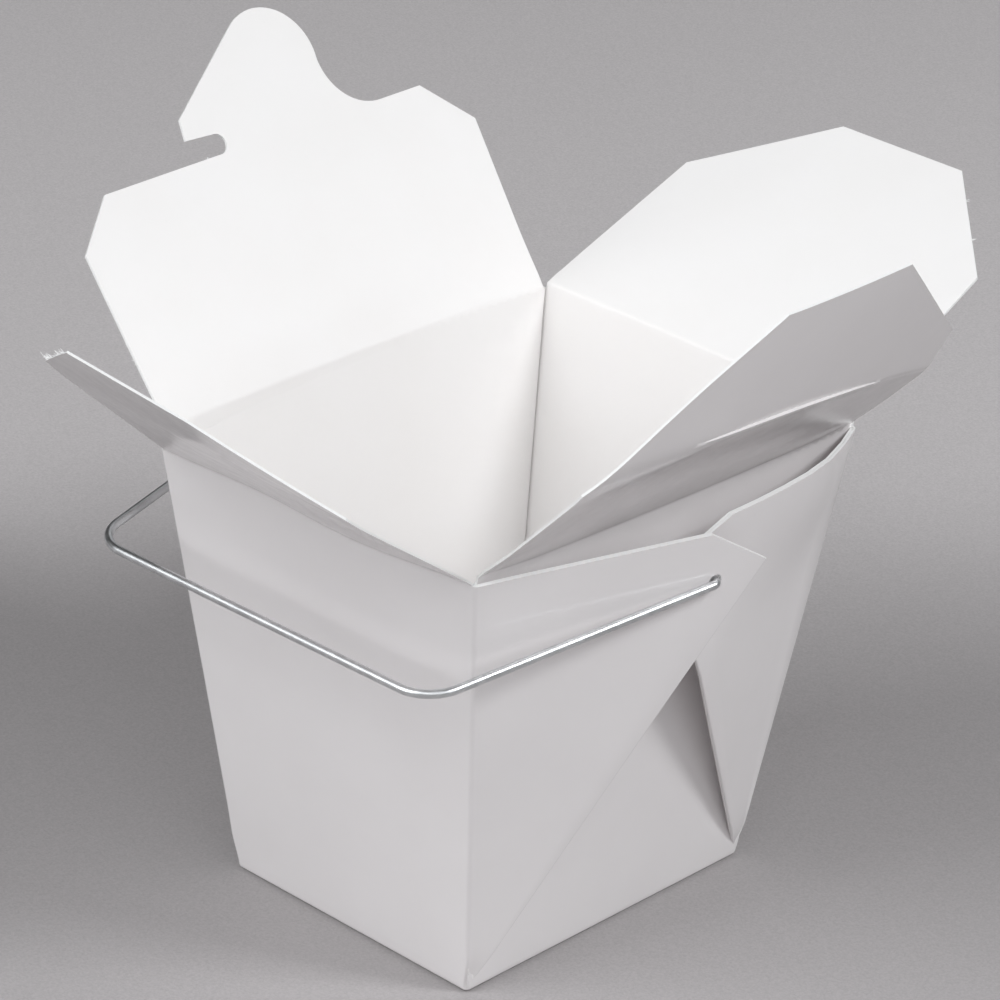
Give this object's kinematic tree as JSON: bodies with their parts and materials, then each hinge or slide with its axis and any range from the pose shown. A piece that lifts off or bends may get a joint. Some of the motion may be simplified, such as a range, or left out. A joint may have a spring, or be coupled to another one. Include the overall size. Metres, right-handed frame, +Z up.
{
  "type": "empty paperboard takeaway pail",
  "caption": "Folded paperboard takeaway pail with pleated sides, hinged lid flaps that lock by tab and slot, and a swinging wire bail; empty and standing open.",
  "frame": {"origin": "centre of the base's underside", "axes": "+Z up; -Y is the plain front wall that the bail hangs over; +X is the pleated side whose lid flap has the slit; -X is the pleated side whose lid flap has the tab"},
  "size_m": [0.1492, 0.1965, 0.1379],
  "materials": {
    "board": "white coated paperboard, satin outside and matt inside",
    "bail_steel": "drawn galvanised wire, satin"
  },
  "bodies": {
    "tub": {"tub": "board"},
    "flap_front": {"flap_front": "board"},
    "flap_back": {"flap_back": "board"},
    "flap_slot": {"flap_slot": "board"},
    "flap_tab": {"flap_tab": "board"},
    "bail": {"bail": "bail_steel"}
  },
  "joints": [
    {"name": "front_flap_crease", "type": "hinge", "parent": "tub", "child": "flap_front", "pos_m": [0, -0.0481, 0.08503], "axis": [1, 0, 0], "range_deg": [-143.5, 16.5]},
    {"name": "back_flap_crease", "type": "hinge", "parent": "tub", "child": "flap_back", "pos_m": [0, 0.0481, 0.08503], "axis": [-1, 0, 0], "range_deg": [-155.7, 18.3]},
    {"name": "slot_flap_crease", "type": "hinge", "parent": "tub", "child": "flap_slot", "pos_m": [0.03712, 0, 0.08603], "axis": [0, 1, 0], "range_deg": [-124.1, 38.5]},
    {"name": "tab_flap_crease", "type": "hinge", "parent": "tub", "child": "flap_tab", "pos_m": [-0.03712, 0, 0.08603], "axis": [0, -1, 0], "range_deg": [-115.5, 43]},
    {"name": "bail_swing", "type": "hinge", "parent": "tub", "child": "bail", "pos_m": [0, -0.001, 0.075], "axis": [1, 0, 0], "range_deg": [-12, 38]}
  ]
}
